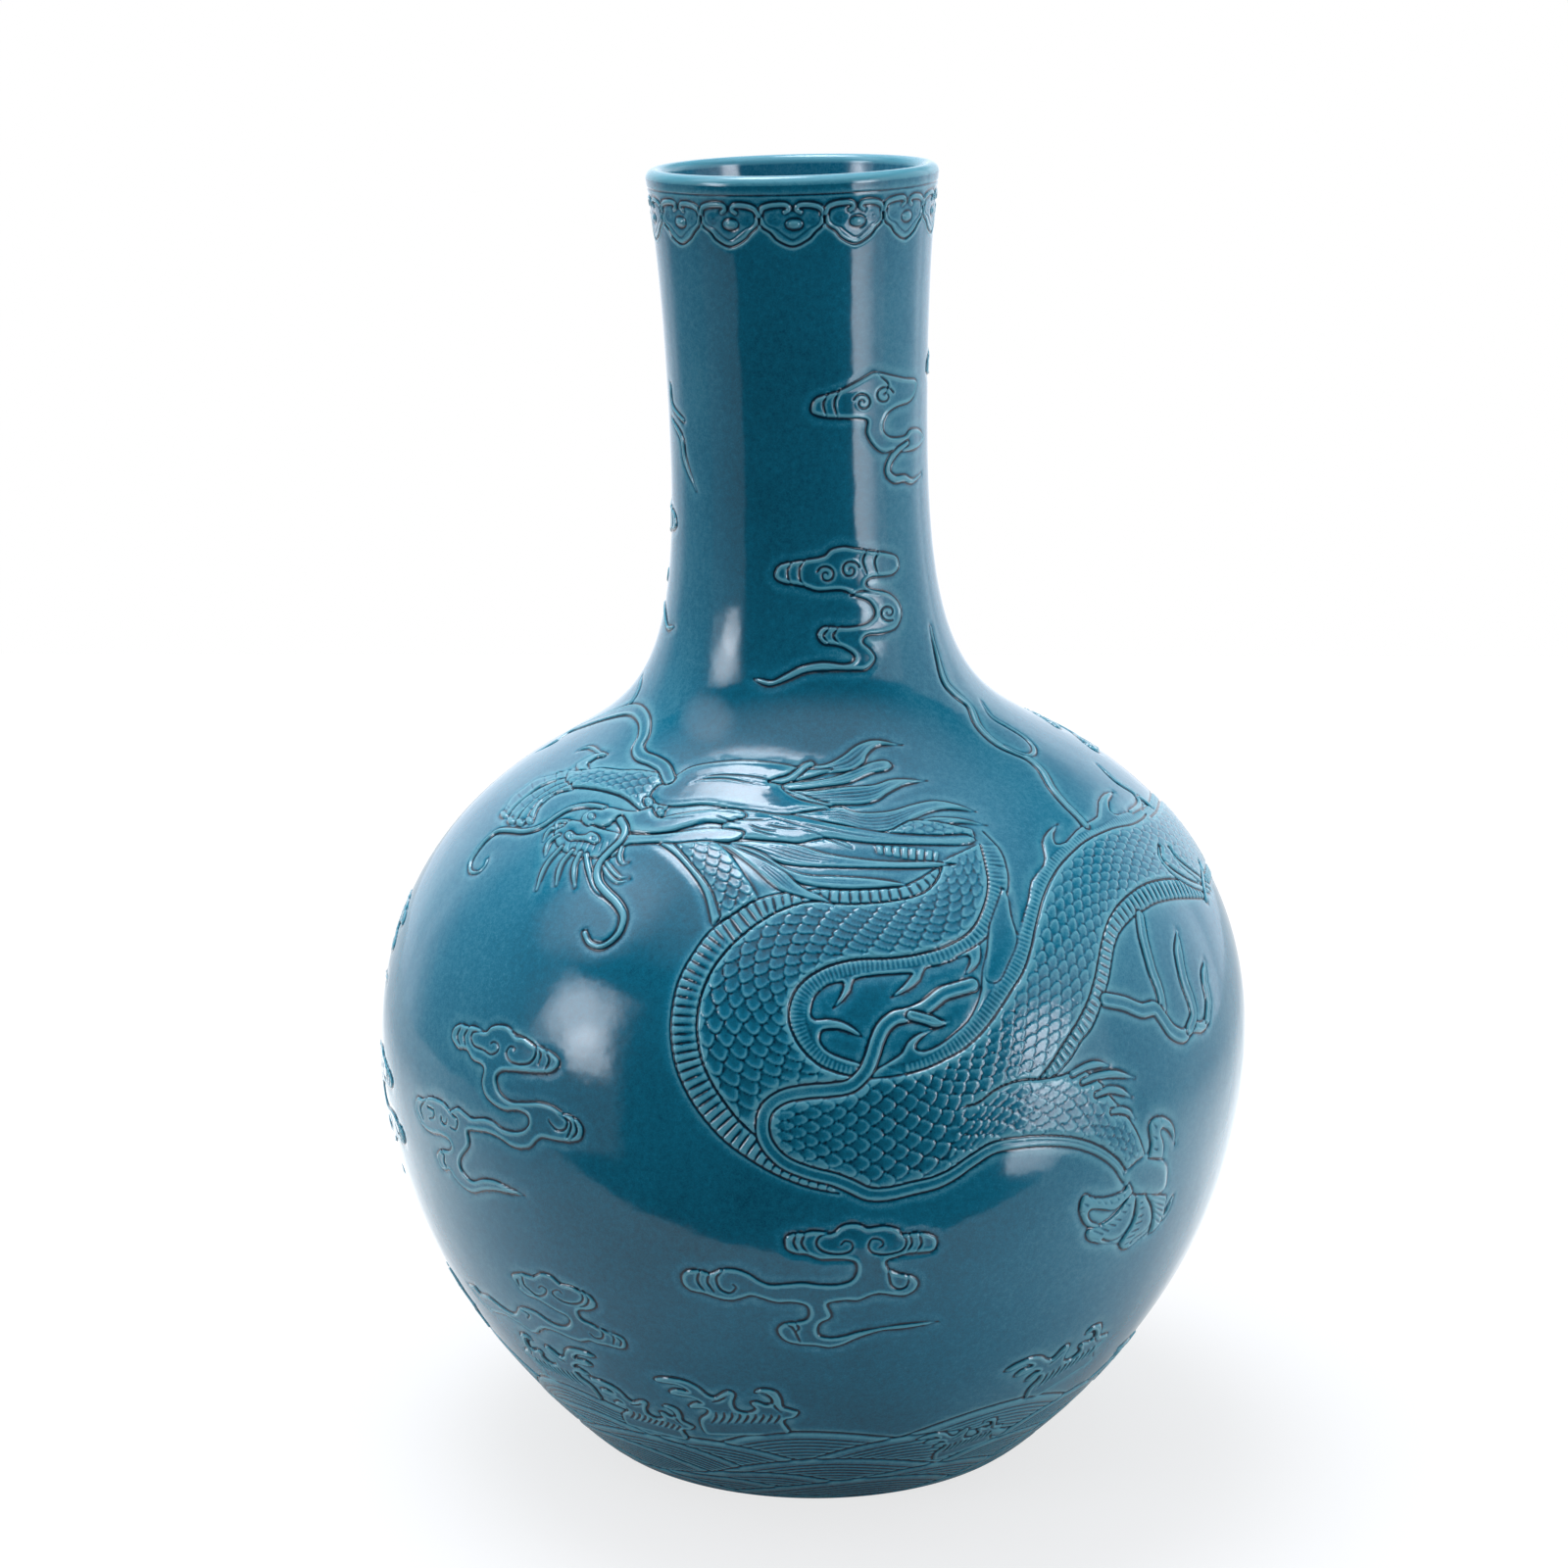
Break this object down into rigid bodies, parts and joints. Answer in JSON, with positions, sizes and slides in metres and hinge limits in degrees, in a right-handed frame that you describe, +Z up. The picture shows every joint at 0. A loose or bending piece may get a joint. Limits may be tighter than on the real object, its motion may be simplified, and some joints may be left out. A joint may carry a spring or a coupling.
{
  "type": "glazed globular bottle vase",
  "caption": "Tall globular porcelain bottle vase with a straight neck, carved relief under a turquoise glaze, luted from thrown sections on a foot ring.",
  "frame": {"origin": "centre of the bounding box's base, on the surface that the foot ring stands on", "axes": "+Z up from the foot to the mouth, +X to the right and +Y away as the dragon's head is seen"},
  "size_m": [0.383, 0.383, 0.5616],
  "materials": {
    "biscuit_clay": "unglazed fired porcelain body, matte, pale buff",
    "joint_slip": "fired slip, matte",
    "turquoise_glaze": "high gloss turquoise blue glaze, pooled dark in the carving and thin on the raised edges",
    "inner_turquoise_glaze": "thinner glossy turquoise glaze"
  },
  "bodies": {
    "root": {"foot_ring": "biscuit_clay", "foot_joint_slip": "joint_slip", "lower_body": "biscuit_clay", "belly_joint_slip": "joint_slip", "upper_body": "biscuit_clay", "neck_joint_slip": "joint_slip", "neck": "biscuit_clay", "outer_glaze": "turquoise_glaze", "inner_glaze": "inner_turquoise_glaze", "base_glaze": "inner_turquoise_glaze"}
  },
  "joints": []
}
